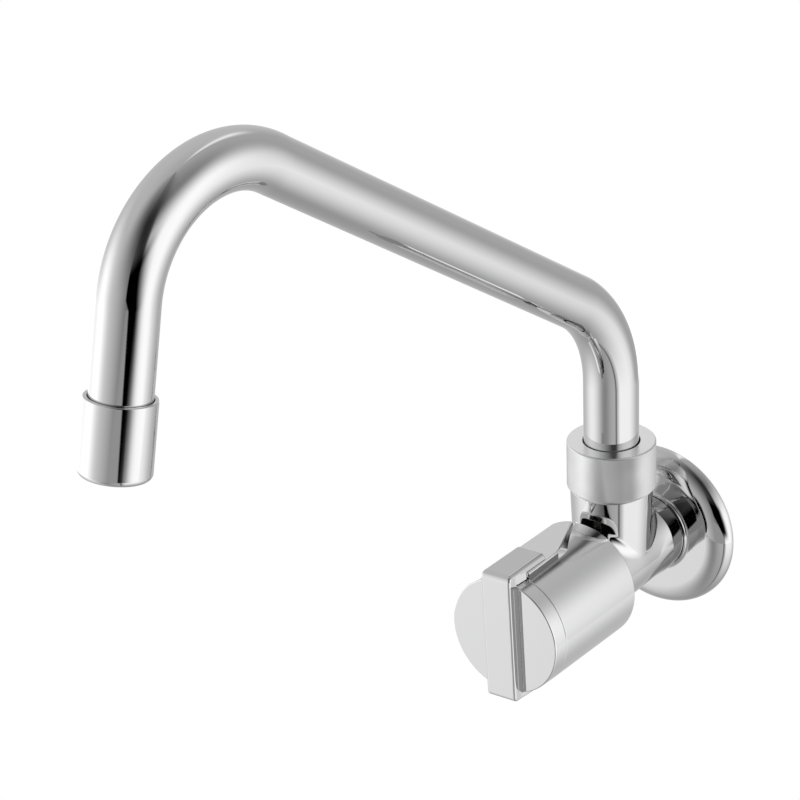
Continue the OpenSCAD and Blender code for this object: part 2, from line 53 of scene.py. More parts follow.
# Camera at the photograph's viewing angle, in degrees and metres
VIEW_AZIMUTH, VIEW_ELEVATION, VIEW_ROLL = 37.7855, 25.572, -2.1376
VIEW_FROM = (0.532114, -0.835799, 0.524108)
cam_data = bpy.data.cameras.new("camera")
cam_data.lens = 140.87
cam_data.sensor_width = 36.0
cam_data.clip_start = 0.05
cam_data.clip_end = 50.0
camera = bpy.data.objects.new("camera", cam_data)
around = Matrix.Rotation(math.radians(VIEW_AZIMUTH), 4, "Z")
down = Matrix.Rotation(math.radians(90.0 - VIEW_ELEVATION), 4, "X")
roll = Matrix.Rotation(math.radians(VIEW_ROLL), 4, "Z")
camera.matrix_world = Matrix.Translation(VIEW_FROM) @ around @ down @ roll
scene.collection.objects.link(camera)
scene.camera = camera


# Where a node begins and ends, in millimetres, read from the frame
def depths(node):
    low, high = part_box(node)
    return round(-high.y / MM, 3), round(-low.y / MM, 3)


def heights(node):
    low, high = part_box(node)
    return round(low.z / MM, 3), round(high.z / MM, 3)


def half_width(node):
    return round(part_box(node)[1].x / MM, 3)


# Sizes that several pieces share, in millimetres. d counts out from the wall.
swivel = next(joint for joint in frame["joints"] if joint["name"] == "spout_swivel")
TOWER_D = round(-swivel["pos_m"][1] / MM, 3)
TOWER_TOP = heights("body_casting")[1]
COLLAR_Z, COLLAR_TOP = heights("spout_nut")
TUBE_R = 9.525
NECK_R = 14.4
KNOB_REAR, SEAM = depths("handle_barrel")
CAP_BACK, KNOB_FRONT = depths("handle_cap")
KNOB_R, SEAM_R, FACE_R = 21.2, 21.0, 20.85
SCREW_HOLE_R = 2.3
FIN_TOP = 22.8
LEAN = math.radians(2.0)

X, Y, Z = np.eye(3)
ORIGIN = np.zeros(3)
TOWER = np.array([0.0, -TOWER_D, 0.0])


# Shader node helper
class Web:
    def __init__(self, tree):
        self.tree = tree
        self.new = tree.nodes.new

    def put(self, socket, value):
        if isinstance(value, bpy.types.NodeSocket):
            self.tree.links.new(value, socket)
        else:
            socket.default_value = value

    def math(self, op, *args):
        n = self.new("ShaderNodeMath")
        n.operation = op
        for i, a in enumerate(args):
            self.put(n.inputs[i], a)
        return n.outputs[0]

    def ramp(self, value, a, b, lo, hi, kind="SMOOTHSTEP"):
        n = self.new("ShaderNodeMapRange")
        n.interpolation_type = kind
        n.clamp = True
        for i, v in enumerate((value, a, b, lo, hi)):
            self.put(n.inputs[i], v)
        return n.outputs[0]

    def add(self, *args):
        out = args[0]
        for a in args[1:]:
            out = self.math("ADD", out, a)
        return out

    def mul(self, *args):
        out = args[0]
        for a in args[1:]:
            out = self.math("MULTIPLY", out, a)
        return out

    def over(self, value, start):
        return self.math("MAXIMUM", self.math("SUBTRACT", value, start), 0.0)

    def under(self, value, start):
        return self.math("MAXIMUM", self.math("SUBTRACT", start, value), 0.0)

    def mix(self, t, a, b):
        return self.add(self.mul(a, self.math("SUBTRACT", 1.0, t)), self.mul(b, t))

    def bell(self, value, centre, width):
        t = self.mul(self.math("SUBTRACT", value, centre), 1.0 / width)
        return self.math("EXPONENT", self.mul(t, t, -1.0))

    def noise(self, scale, detail=2.0, stretch=None):
        n = self.new("ShaderNodeTexNoise")
        n.inputs["Scale"].default_value = scale
        n.inputs["Detail"].default_value = detail
        place = self.new("ShaderNodeTexCoord").outputs["Object"]
        if stretch:
            m = self.new("ShaderNodeMapping")
            m.inputs["Scale"].default_value = stretch
            self.put(m.inputs["Vector"], place)
            place = m.outputs[0]
        self.put(n.inputs["Vector"], place)
        return n.outputs[0]

    def bump(self, height, strength, distance):
        n = self.new("ShaderNodeBump")
        n.inputs["Strength"].default_value = strength
        n.inputs["Distance"].default_value = distance
        self.put(n.inputs["Height"], height)
        return n.outputs[0]

    def white_to_camera(self, seen, otherwise):
        n = self.new("ShaderNodeMixShader")
        self.put(n.inputs[0], self.new("ShaderNodeLightPath").outputs["Is Camera Ray"])
        self.put(n.inputs[1], otherwise.outputs[0])
        self.put(n.inputs[2], seen.outputs[0])
        return n.outputs[0]


# Studio: white to the camera, and the chrome mirrors a grey room with two soft boxes
# levels go from 0, black, to 1, white
# angles are degrees: az turns right from straight out of the wall, and el rises from level
DARKEST, GREY_LEFT, GREY_RIGHT, GREY_BACK, CEILING = 0.03, 0.44, 0.178, 0.17, 0.335
BOX_LEFT, BOX_LEFT_AZ, BOX_LEFT_WIDTH = 0.58, -59.0, 28.0
BOX_RIGHT, BOX_RIGHT_FROM, BOX_RIGHT_TO = 0.754, 54.5, 107.0
STRIP, STRIP_AZ, STRIP_WIDTH = 0.42, -168.0, 7.0
SWEEP, LOWEST = 1.08, 0.27
GAP_FROM, GAP_TO = 28.0, 56.0
TABLE, TABLE_LEFT, TABLE_RIGHT, TABLE_DIP, TABLE_UNDER = 0.405, 0.475, 0.52, -0.23, 0.276
TABLE_EDGE, TABLE_JOIN = -25.4, 54.0
# chrome sends back this share of the light, so the room is brighter by as much
MIRROR = 0.65


def studio_level(w):
    way = w.new("ShaderNodeSeparateXYZ")
    w.put(way.inputs[0], w.new("ShaderNodeTexCoord").outputs["Generated"])
    turn = w.math("ARCTAN2", way.outputs[0], w.mul(way.outputs[1], -1.0))
    az = w.mul(turn, math.degrees(1.0))
    el = w.mul(w.math("ARCSINE", way.outputs[2]), math.degrees(1.0))
    # soft grey room, darker towards the camera
    shift = w.add(az, w.mul(w.over(el, 5.0), 0.66))
    grey_left = w.mul(w.ramp(shift, -18.5, 63, GREY_LEFT, DARKEST), w.ramp(az, -180, -150, 0.79, 1.0))
    grey_right = w.add(w.ramp(az, 45.5, 79.5, DARKEST, GREY_RIGHT), w.ramp(az, 79.5, 180, 0.0, GREY_BACK))
    walls = w.math("MAXIMUM", grey_left, grey_right)
    level = w.mix(w.ramp(el, 42.5, 106, 0.0, 1.0), walls, CEILING)
    # a soft box on the left, one on the right and a strip high at the back
    box_left = w.mul(w.bell(az, BOX_LEFT_AZ, BOX_LEFT_WIDTH), w.ramp(el, 1, 40.5, BOX_LEFT, 0.0))
    box_right = w.mul(
        w.ramp(az, BOX_RIGHT_FROM, BOX_RIGHT_FROM + 9, 0.0, BOX_RIGHT),
        w.ramp(az, BOX_RIGHT_TO, BOX_RIGHT_TO + 55, 1.0, 0.0),
        w.ramp(el, 2.5, 52.5, 1.0, 0.0),
    )
    strip = w.mul(
        w.bell(az, STRIP_AZ, STRIP_WIDTH), w.ramp(el, 24, 46, 0.0, STRIP), w.ramp(el, 66, 88, 1.0, 0.0)
    )
    level = w.add(level, strip, w.add(box_left, box_right))
    # bright sweep low on the left
    sweep = w.mul(
        w.ramp(el, -33.5, 0.6, SWEEP, 0.0), w.ramp(az, -183, 3, 1.0, 0.0), w.ramp(az, -180, -160, 0.0, 1.0)
    )
    level = w.math("MINIMUM", w.add(level, sweep), 1.0)
    level = w.math("MAXIMUM", level, w.ramp(el, -9, -3, LOWEST, 0.0))
    # the dark gap where the camera stands
    left = w.add(az, w.mul(w.under(el, -1.0), -1.45))
    right = w.add(az, w.mul(w.under(el, 6.0), -0.45))
    gap = w.mul(
        w.ramp(left, GAP_FROM, GAP_FROM + 3.5, 0.0, 1.0), w.ramp(right, GAP_TO, GAP_TO + 35, 1.0, 0.0),
        w.ramp(el, -23.5, -12, 0.0, 1.0), w.ramp(el, 12, 26, 1.0, 0.3),
    )
    level = w.mul(level, w.math("SUBTRACT", 1.0, gap))
    # pale table with both boxes in it and a dark join
    table_left = w.mul(w.bell(az, -52.5, 37), TABLE_LEFT)
    table_right = w.mul(w.ramp(az, 57, 72.5, 0.0, TABLE_RIGHT), w.ramp(az, 107, 171, 1.0, 0.0))
    table = w.add(TABLE, table_left, table_right, w.mul(w.bell(az, 5.5, 22), TABLE_DIP))
    table = w.mix(w.ramp(el, -91, -10, 1.0, 0.0), table, TABLE_UNDER)
    join = w.ramp(w.math("ABSOLUTE", w.add(az, -TABLE_JOIN)), 1.0, 4.0, 0.3, 1.0)
    level = w.mix(w.ramp(el, TABLE_EDGE, TABLE_EDGE + 1, 1.0, 0.0), level, w.mul(table, join))
    return w.mul(level, 1.0 / MIRROR)


world = bpy.data.worlds.new("studio")
scene.world = world
world.use_nodes = True
world.node_tree.nodes.clear()
w = Web(world.node_tree)
shown = w.new("ShaderNodeBackground")
shown.inputs["Color"].default_value = (1.0, 1.0, 1.0, 1.0)
shown.inputs["Strength"].default_value = 1.0
room = w.new("ShaderNodeBackground")
room.inputs["Color"].default_value = (1.0, 1.0, 1.0, 1.0)
w.put(room.inputs["Strength"], studio_level(w))
w.put(w.new("ShaderNodeOutputWorld").inputs["Surface"], w.white_to_camera(shown, room))


# Materials, each with its own fine detail
# rough is the range of roughness, and grain the scale of its noise
# bump is the scale, the strength and the depth in metres of the fine relief
NOISE_LOW, NOISE_HIGH = 0.3, 0.7


def material(name, base, metallic, rough, grain, bump, mottled=None, stretch=None, **fixed):
    m = bpy.data.materials.new(name)
    m.use_nodes = True
    s = Web(m.node_tree)
    bsdf = m.node_tree.nodes["Principled BSDF"]
    bsdf.inputs["Metallic"].default_value = metallic
    for key, value in fixed.items():
        bsdf.inputs[key.replace("_", " ")].default_value = value
    uneven = s.ramp(s.noise(grain, 4.0, stretch), NOISE_LOW, NOISE_HIGH, rough[0], rough[1], "LINEAR")
    s.put(bsdf.inputs["Roughness"], uneven)
    if mottled:
        mixer = s.new("ShaderNodeMix")
        mixer.data_type = "RGBA"
        s.put(mixer.inputs[0], s.ramp(s.noise(grain * 0.4, 3.0), NOISE_LOW, NOISE_HIGH, 0.0, 1.0))
        mixer.inputs[6].default_value = (*base, 1.0)
        mixer.inputs[7].default_value = (*mottled, 1.0)
        s.put(bsdf.inputs["Base Color"], mixer.outputs[2])
    else:
        bsdf.inputs["Base Color"].default_value = (*base, 1.0)
    scale, strength, depth = bump
    s.put(bsdf.inputs["Normal"], s.bump(s.noise(scale, 2.0, stretch), strength, depth))
    return m


# Tool marks that run around an upright axis
def turn_marks(look):
    marks = look.node_tree.nodes.new("ShaderNodeTangent")
    marks.direction_type = "RADIAL"
    marks.axis = "Z"
    bsdf = look.node_tree.nodes["Principled BSDF"]
    look.node_tree.links.new(marks.outputs[0], bsdf.inputs["Tangent"])


# A smoother finish around a spot: share of the roughness up to near, all of it from far on
def smoother_around(look, spot, near, far, share):
    s = Web(look.node_tree)
    rough = look.node_tree.nodes["Principled BSDF"].inputs["Roughness"]
    away = s.new("ShaderNodeVectorMath")
    away.operation = "DISTANCE"
    s.put(away.inputs[0], s.new("ShaderNodeTexCoord").outputs["Object"])
    away.inputs[1].default_value = spot
    even = rough.links[0].from_socket
    s.put(rough, s.mul(even, s.ramp(away.outputs["Value"], near, far, share, 1.0)))


CHROME = (MIRROR, MIRROR, MIRROR * 1.005)
chrome = material("chrome", CHROME, 1.0, (0.02, 0.05), 90.0, (160.0, 0.12, 0.00002))
chrome_cast = material("chrome_cast", CHROME, 1.0, (0.03, 0.07), 70.0, (110.0, 0.2, 0.00004))

# The collar is turned, and its top is faced off; the top's paler base colour is painted light, to look brighter
# than the sides
TURNED, TURNED_BUMP = 120.0, (220.0, 0.12, 0.00002)
chrome_turned = material(
    "chrome_turned", (0.86, 0.86, 0.865), 1.0, (0.4, 0.46), TURNED, TURNED_BUMP,
    Anisotropic=1.0, Anisotropic_Rotation=0.35,
)
turn_marks(chrome_turned)
chrome_faced_painted_light = material("chrome_faced_painted_light", (0.98, 0.98, 0.985), 1.0, (0.22, 0.28), TURNED, TURNED_BUMP)

# The handle's satin chrome: fin and rim, a painted shade along the fin's right side, and the barrel's outside
SATIN, SATIN_ROUGH, SATIN_BUMP = (0.81, 0.81, 0.815), (0.13, 0.17), (400.0, 0.1, 0.00001)
chrome_moulded = material("chrome_moulded", SATIN, 1.0, SATIN_ROUGH, 90.0, SATIN_BUMP)
# painted shade: a dark copy of the satin chrome stands in for the dark reflection along the fin's right side
chrome_painted_shade = material("chrome_painted_shade", (0.16, 0.16, 0.162), 1.0, SATIN_ROUGH, 90.0, SATIN_BUMP)
chrome_barrel = material("chrome_barrel", SATIN, 1.0, SATIN_ROUGH, 90.0, SATIN_BUMP)
# the barrel is smoother close to the tower, with the spot and the distances in metres
NEAR_TOWER = (0.004, -0.052, 0.021)
smoother_around(chrome_barrel, NEAR_TOWER, near=0.007, far=0.019, share=0.3)

# What isn't plated
unplated = material("unplated", (0.03, 0.03, 0.032), 0.0, (0.5, 0.7), 150.0, (700.0, 0.3, 0.00005))
brass = material(
    "brass", (0.72, 0.52, 0.24), 1.0, (0.22, 0.4), 180.0, (900.0, 0.3, 0.00004),
    mottled=(0.62, 0.43, 0.19),
)
rubber = material(
    "rubber", (0.02, 0.02, 0.021), 0.0, (0.5, 0.75), 300.0, (2500.0, 0.4, 0.00005),
    mottled=(0.035, 0.035, 0.035),
)
plastic = material(
    "plastic", (0.78, 0.78, 0.75), 0.0, (0.35, 0.5), 250.0, (1500.0, 0.25, 0.00003),
    mottled=(0.72, 0.72, 0.69),
)
ceramic = material(
    "ceramic", (0.86, 0.85, 0.81), 0.0, (0.12, 0.22), 400.0, (1800.0, 0.15, 0.00002),
    mottled=(0.82, 0.81, 0.77),
)
steel = material(
    "steel", (0.62, 0.63, 0.65), 1.0, (0.2, 0.35), 260.0, (1200.0, 0.2, 0.00003),
    mottled=(0.56, 0.57, 0.59), stretch=(1, 1, 6),
)


# Outlines: corners (a, b, rounding), in either direction, give points and outward normals
def outline(corners, steps=8):
    pts = [np.array(c[:2], float) for c in corners]
    area = sum(p[0] * q[1] - q[0] * p[1] for p, q in zip(pts, pts[1:] + pts[:1]))
    if area < 0:
        corners = corners[::-1]
        pts = pts[::-1]
    out, nor = [], []
    for i, corner in enumerate(corners):
        p = pts[i]
        before, after = p - pts[i - 1], pts[(i + 1) % len(pts)] - p
        before, after = before / np.linalg.norm(before), after / np.linalg.norm(after)
        n1, n2 = np.array([before[1], -before[0]]), np.array([after[1], -after[0]])
        turn = math.atan2(before[0] * after[1] - before[1] * after[0], before @ after)
        r = corner[2]
        if r <= 0 or abs(turn) < 1e-6:
            out += [p, p]
            nor += [n1, n2]
            continue
        start = p - before * r * math.tan(abs(turn) / 2)
        sign = 1.0 if turn > 0 else -1.0
        centre = start - sign * r * n1
        count = max(2, int(math.ceil(abs(turn) / (math.pi / 2) * steps)))
        for k in range(count + 1):
            c, s = math.cos(turn * k / count), math.sin(turn * k / count)
            n = np.array([n1[0] * c - n1[1] * s, n1[0] * s + n1[1] * c])
            out.append(centre + sign * r * n)
            nor.append(n)
    return np.array(out), np.array(nor)


# Faces between the points of a grid, whose rows and columns may close into rings
def grid_faces(rows, cols, close_rows, close_cols, skip=()):
    faces = []
    for i in range(rows if close_rows else rows - 1):
        if i in skip:
            continue
        k = (i + 1) % rows
        for j in range(cols if close_cols else cols - 1):
            m = (j + 1) % cols
            faces.append((i * cols + j, i * cols + m, k * cols + m, k * cols + j))
    return faces


# Turned piece: outline in (radius, height) about an axis
def lathe(corners, origin, axis, count=160, steps=8):
    p, n = outline(corners, steps)
    axis = np.array(axis, float)
    u = np.cross(axis, X if abs(axis[0]) < 0.9 else Y)
    u /= np.linalg.norm(u)
    v = np.cross(axis, u)
    t = np.linspace(0, 2 * math.pi, count, endpoint=False)
    ring = np.outer(np.cos(t), u) + np.outer(np.sin(t), v)
    verts = origin + p[:, None, 1:] * axis + p[:, None, :1] * ring
    norms = n[:, None, 1:] * axis + n[:, None, :1] * ring
    m = len(p)
    flat = {i for i in range(m) if np.linalg.norm(p[(i + 1) % m] - p[i]) < 1e-9}
    return verts.reshape(-1, 3), norms.reshape(-1, 3), grid_faces(m, count, True, True, flat)


# Prism with rounded ends: outline in (u, v), raised along their normal from low to high
def prism(corners, u, v, low, high, edge, steps=6):
    p, n = outline(corners, steps)
    up = np.cross(u, v)
    quarter = [math.pi / 2 * k / steps for k in range(steps + 1)]
    rings = [(low + edge * (1 - math.cos(a)), math.sin(a), -math.cos(a)) for a in quarter]
    rings += [(high - edge * (1 - math.cos(a)), math.sin(a), math.cos(a)) for a in quarter[::-1]]
    verts, norms = [], []
    for height, out_part, up_part in rings:
        q = p - n * edge * (1 - out_part)
        verts.append(np.outer(q[:, 0], u) + np.outer(q[:, 1], v) + height * up)
        norms.append(out_part * (np.outer(n[:, 0], u) + np.outer(n[:, 1], v)) + up_part * up)
    m, r = len(p), len(rings)
    faces = []
    for k in range(r - 1):
        for i in range(m):
            j = (i + 1) % m
            if np.linalg.norm(p[j] - p[i]) > 1e-9:
                faces.append((k * m + i, k * m + j, (k + 1) * m + j, (k + 1) * m + i))
    faces.append(tuple(range(m - 1, -1, -1)))
    faces.append(tuple(range((r - 1) * m, r * m)))
    return np.concatenate(verts), np.concatenate(norms), faces


# Tube along a path of (centre, direction), with an inside wall
def tube(path, side, r_out, r_in, count=96):
    t = np.linspace(0, 2 * math.pi, count, endpoint=False)
    outer, inner, ring_n = [], [], []
    for centre, along in path:
        flat = np.cross(side, along)
        ring = np.outer(np.cos(t), flat) + np.outer(np.sin(t), side)
        outer.append(centre + r_out * ring)
        inner.append(centre + r_in * ring)
        ring_n.append(ring)
    rows = len(path)
    nor = np.concatenate(ring_n)
    faces = grid_faces(rows, count, False, True)
    off = rows * count
    faces += [tuple(i + off for i in f[::-1]) for f in faces]
    last = (rows - 1) * count
    for j in range(count):
        m = (j + 1) % count
        faces.append((m, j, j + off, m + off))
        faces.append((last + j, last + m, last + m + off, last + j + off))
    return np.concatenate(outer + inner), np.concatenate([nor, -nor]), faces


# Surface of a solid given by its distance function, with true normals, sampled at a pitch
COARSE, FINE = 0.6, 0.4
SETTLE_STEPS, LEAST_SLOPE = 5, 0.2


def solid(distance, low, high, pitch):
    axes = [np.arange(a, b + pitch, pitch) for a, b in zip(low, high)]
    pts = np.stack(np.meshgrid(*axes, indexing="ij"), -1)
    val = distance(pts.reshape(-1, 3)).reshape(pts.shape[:3])
    inside = val < 0
    nx, ny, nz = inside.shape
    total = np.zeros((nx - 1, ny - 1, nz - 1, 3))
    hits = np.zeros((nx - 1, ny - 1, nz - 1))
    crossings = []
    # one point in each cell that the surface crosses, at the mean of its crossings
    for ax in range(3):
        lo = [slice(None)] * 3
        hi = [slice(None)] * 3
        lo[ax], hi[ax] = slice(0, -1), slice(1, None)
        a, b = val[tuple(lo)], val[tuple(hi)]
        cross = inside[tuple(lo)] != inside[tuple(hi)]
        t = np.where(cross, a / np.where(cross, a - b, 1.0), 0.0)
        spot = pts[tuple(lo)].copy()
        spot[..., ax] += t * pitch
        crossings.append((ax, cross, inside[tuple(lo)]))
        others = [i for i in range(3) if i != ax]
        for da in (0, 1):
            for db in (0, 1):
                sel = [slice(None)] * 3
                sel[others[0]] = slice(da, cross.shape[others[0]] - 1 + da)
                sel[others[1]] = slice(db, cross.shape[others[1]] - 1 + db)
                c = cross[tuple(sel)]
                hits += c
                total += spot[tuple(sel)] * c[..., None]
    used = hits > 0
    index = -np.ones(used.shape, int)
    index[used] = np.arange(used.sum())
    verts = total[used] / hits[used][:, None]

    def slope(q):
        h = 1e-3
        return np.stack([(distance(q + h * a) - distance(q - h * a)) / (2 * h) for a in np.eye(3)], -1)

    # the points settle on the surface
    for _ in range(SETTLE_STEPS):
        g = slope(verts)
        step = distance(verts) / np.maximum((g * g).sum(1), LEAST_SLOPE)
        verts = verts - g * np.clip(step, -pitch, pitch)[:, None]
    # one face around each crossed edge of the grid
    faces = []
    for ax, cross, first_in in crossings:
        o1, o2 = [(1, 2), (2, 0), (0, 1)][ax]
        for i, j, k in np.argwhere(cross):
            c = [i, j, k]
            if c[o1] == 0 or c[o2] == 0 or c[o1] >= index.shape[o1] or c[o2] >= index.shape[o2]:
                continue
            cells = []
            for da, db in ((1, 1), (0, 1), (0, 0), (1, 0)):
                q = list(c)
                q[o1] -= da
                q[o2] -= db
                cells.append(int(index[tuple(q)]))
            faces.append(tuple(cells if first_in[i, j, k] else cells[::-1]))
    g = slope(verts)
    return verts, g / np.maximum(np.linalg.norm(g, axis=1, keepdims=True), 1e-9), faces


# Convex corner with a rounded edge between two distances
def rounded(a, b, r):
    return np.minimum(-r, np.maximum(a, b)) + np.hypot(np.maximum(a + r, 0), np.maximum(b + r, 0))


# One scene piece out of several meshes
def piece(name, body, look, parts, nodes):
    verts, norms, faces, base = [], [], [], 0
    for v, n, f in parts:
        verts.append(v)
        norms.append(n)
        faces += [tuple(int(i) + base for i in face) for face in f]
        base += len(v)
    verts = np.concatenate(verts) * MM
    norms = np.concatenate(norms)
    mesh = bpy.data.meshes.new(name)
    mesh.from_pydata(verts.tolist(), [], faces)
    mesh.polygons.foreach_set("use_smooth", [True] * len(mesh.polygons))
    mesh.normals_split_custom_set_from_vertices(norms.tolist())
    mesh.materials.append(look)
    mesh.update()
    obj = bpy.data.objects.new(name, mesh)
    scene.collection.objects.link(obj)
    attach(obj, body)
    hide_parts(*nodes)
    return obj


# Another finish on the faces whose centre, in millimetres, and normal pass the test
def refinish(obj, look, test):
    obj.data.materials.append(look)
    for face in obj.data.polygons:
        if test(face.center / MM, face.normal):
            face.material_index = len(obj.data.materials) - 1


# Spout tube: riser, bend, sloping arm, bend, down leg, swung to the left
SWING = math.radians(6.0)
OUT = np.array([-math.sin(SWING), -math.cos(SWING), 0.0])
SIDE = np.cross(Z, OUT)
TUBE_IN_R = 8.525
RISE_FROM, RISE_TO = heights("spout_tube")[0], 68.5
LOW_R, LOW_A = 43.8, math.radians(56.2)
ARM_L = 162.6
TOP_R, TOP_A = 37.9, math.radians(112.5)
DROP_L, DROP_IN = 28.0, 2.2


def bend(centre, radius, start, angle, count):
    places = []
    for k in range(1, count + 1):
        a = start + angle * k / count
        c, s = math.cos(a), math.sin(a)
        places.append((centre + radius * (Z * s - OUT * c), OUT * s + Z * c))
    return places


def spout_path():
    path = [(TOWER + Z * RISE_FROM, Z), (TOWER + Z * RISE_TO, Z)]
    path += bend(TOWER + OUT * LOW_R + Z * RISE_TO, LOW_R, 0.0, LOW_A, 48)
    place, arm = path[-1]
    place = place + arm * ARM_L
    path.append((place, arm))
    path += bend(place + TOP_R * (OUT * math.cos(LOW_A) - Z * math.sin(LOW_A)), TOP_R, LOW_A, TOP_A, 96)
    place, down_leg = path[-1]
    nozzle_top = place + down_leg * DROP_L
    path.append((nozzle_top + down_leg * DROP_IN, down_leg))
    return path, nozzle_top, down_leg


path, nozzle_top, nozzle_way = spout_path()
piece("spout", "spout", chrome, [tube(path, SIDE, TUBE_R, TUBE_IN_R)], ["spout_tube"])

# Nozzle on the spout's end, with a lip at its mouth and a rim that fits the tube
NOZZLE_R, NOZZLE_L, NOZZLE_IN_R = 11.0, 23.9, 10.15
MOUTH_R, MOUTH_LIP = 8.3, 2.2
RIM_R, RIM_L = TUBE_R + 0.25, 2.0
piece(
    "nozzle", "spout", chrome,
    [lathe(
        [
            (NOZZLE_R, 0, 0.35), (NOZZLE_R, NOZZLE_L, 1.8), (MOUTH_R, NOZZLE_L, 0.3),
            (MOUTH_R, NOZZLE_L - MOUTH_LIP, 0), (NOZZLE_IN_R, NOZZLE_L - MOUTH_LIP, 0),
            (NOZZLE_IN_R, RIM_L, 0), (RIM_R, RIM_L, 0), (RIM_R, 0, 0.15),
        ],
        nozzle_top, nozzle_way,
    )],
    ["nozzle_shell"],
)

# Collar that holds the spout down, with a tapered foot and its top faced off
COLLAR_R = half_width("spout_nut")
COLLAR_FOOT_R, COLLAR_FOOT = 14.3, 1.1
COLLAR_IN_R = TUBE_R + 0.35
RING_R, RING_TOP = 12.2, heights("upper_slip_ring")[1]
NUT_THREAD_R = 13.3
collar = piece(
    "collar", "body", chrome_turned,
    [lathe(
        [
            (COLLAR_FOOT_R, COLLAR_Z, 0.2), (COLLAR_R, COLLAR_Z + COLLAR_FOOT, 0.6),
            (COLLAR_R, COLLAR_TOP, 0.6), (COLLAR_IN_R, COLLAR_TOP, 0.3), (COLLAR_IN_R, RING_TOP, 0),
            (RING_R, RING_TOP, 0), (RING_R, TOWER_TOP, 0), (NUT_THREAD_R, TOWER_TOP, 0),
            (NUT_THREAD_R, COLLAR_Z, 0.2),
        ],
        TOWER, Z,
    )],
    ["spout_nut"],
)
# painted light: the faced top gets a paler base colour than the collar's sides
refinish(collar, chrome_faced_painted_light, lambda c, n: c.z > COLLAR_TOP - 0.02)

# Wall flange: a pressed cup, its shoulder two arcs that meet at 45 degrees, with a drawn lip
FLANGE_R, FLANGE_D = half_width("wall_flange"), depths("wall_flange")[1]
FLAT_R, RIM_EDGE, SHEET = 22.1, 0.5, 1.4
LIP_D, LIP_WALL = 7.8, 0.1
SHOULDER_W, SHOULDER_D = FLANGE_R - FLAT_R, FLANGE_D - RIM_EDGE
ARC_OUT = (SHOULDER_W + SHOULDER_D + (SHOULDER_W - SHOULDER_D) / (math.sqrt(2) - 1)) / 2
ARC_RIM = SHOULDER_W + SHOULDER_D - ARC_OUT
# the corner of such an arc lies this share of its radius past the arc's end
CORNER = math.tan(math.pi / 8)


def shoulder(inset):
    out, rim = ARC_OUT - inset, ARC_RIM - inset
    return [
        (FLANGE_R - inset, 0, 0.25), (FLANGE_R - inset, RIM_EDGE + rim * CORNER, rim),
        (FLAT_R + out * CORNER, FLANGE_D - inset, out),
    ]


hole = [
    (NECK_R, FLANGE_D, 1.2), (NECK_R, LIP_D, 0), (NECK_R - LIP_WALL, LIP_D, 0),
    (NECK_R - LIP_WALL, FLANGE_D - SHEET, 0.2),
]
piece(
    "flange", "body", chrome,
    [lathe(shoulder(0.0) + hole + shoulder(SHEET)[::-1], ORIGIN, -Y, count=200, steps=40)],
    ["wall_flange"],
)

# Body casting: the neck swells to a soft edge in front of the flange and is slimmer inside it
NECK_EDGE, NECK_END = 14.6, 45.6
SWELL_L, SWELL_SLOPE, EDGE_CURVE, EDGE_L = 20.0, 0.105, 0.006, 9.0
BODY_BACK, ROOT_FRONT, ROOT_R = 1.0, 5.0, (13.2, 13.33)
TOWER_R, TOWER_HIGH_R = 13.2, 14.35
CAST_BLEND = 6.0
HUB_R, HUB_FROM, HUB_D = 13.0, 20.0, depths("body_casting")[1]
BORE_R, BORE_D = 7.0, 22.0


def neck_radius(d):
    ahead = np.clip(d - NECK_EDGE, 0.0, SWELL_L)
    behind = np.clip(NECK_EDGE - d, 0.0, EDGE_L)
    r = NECK_R - SWELL_SLOPE * ahead * (1 - ahead / SWELL_L) ** 2 - EDGE_CURVE * behind**2
    return np.minimum(r, np.interp(d, [BODY_BACK, ROOT_FRONT, ROOT_FRONT + 1.0], [*ROOT_R, NECK_R]))


def body_distance(q):
    d, z = -q[:, 1], q[:, 2]
    round_y = np.hypot(q[:, 0], z)
    neck = round_y - neck_radius(d)
    h = np.hypot(q[:, 0], d - TOWER_D)
    flare = (TOWER_HIGH_R - TOWER_R) / COLLAR_Z
    tower = np.maximum((h - TOWER_R - flare * z) / math.hypot(1.0, flare), -z)
    # a ball rolled along both: the blend dies out where they run the same way
    same = np.minimum(q[:, 0] ** 2 / np.maximum(round_y * h, 1.0), 0.999)
    u, v = CAST_BLEND - neck, CAST_BLEND - tower
    apart = np.maximum(u * u + v * v - 2 * u * v * same, 0.0) / (1.0 - same * same)
    rolled = (u > v * same) & (v > u * same)
    blend = np.where(rolled, CAST_BLEND - np.sqrt(apart), np.minimum(neck, tower))
    blend = rounded(blend, d - NECK_END, 1.2)
    both = np.maximum(np.minimum(blend, tower), z - COLLAR_Z - 0.1)
    hub = np.maximum(round_y - HUB_R, np.maximum(d - HUB_D, HUB_FROM - d))
    both = np.maximum(np.minimum(both, hub), BODY_BACK - d)
    bore = np.maximum(round_y - BORE_R, d - BORE_D)
    return np.maximum(both, -bore)


# Inlet tail with a half-inch pipe thread that fades out towards the casting
inlet = next(mount for mount in frame["record"]["mounts"] if mount["name"] == "inlet_tail")
TAIL_R = inlet["dims"]["r_mm"]
TAIL_ROOT, TAIL_L = -1.2, -depths("body_casting")[0]
CORE_R, CORE_END_R = 9.6, 9.45
THREAD_DEPTH, THREAD_PITCH, THREAD_FLAT = 1.0, 1.814, 0.08
FADE_FROM, FADE_L, END_BEVEL = 1.0, 1.5, 1.0
TURN_ROWS = 14


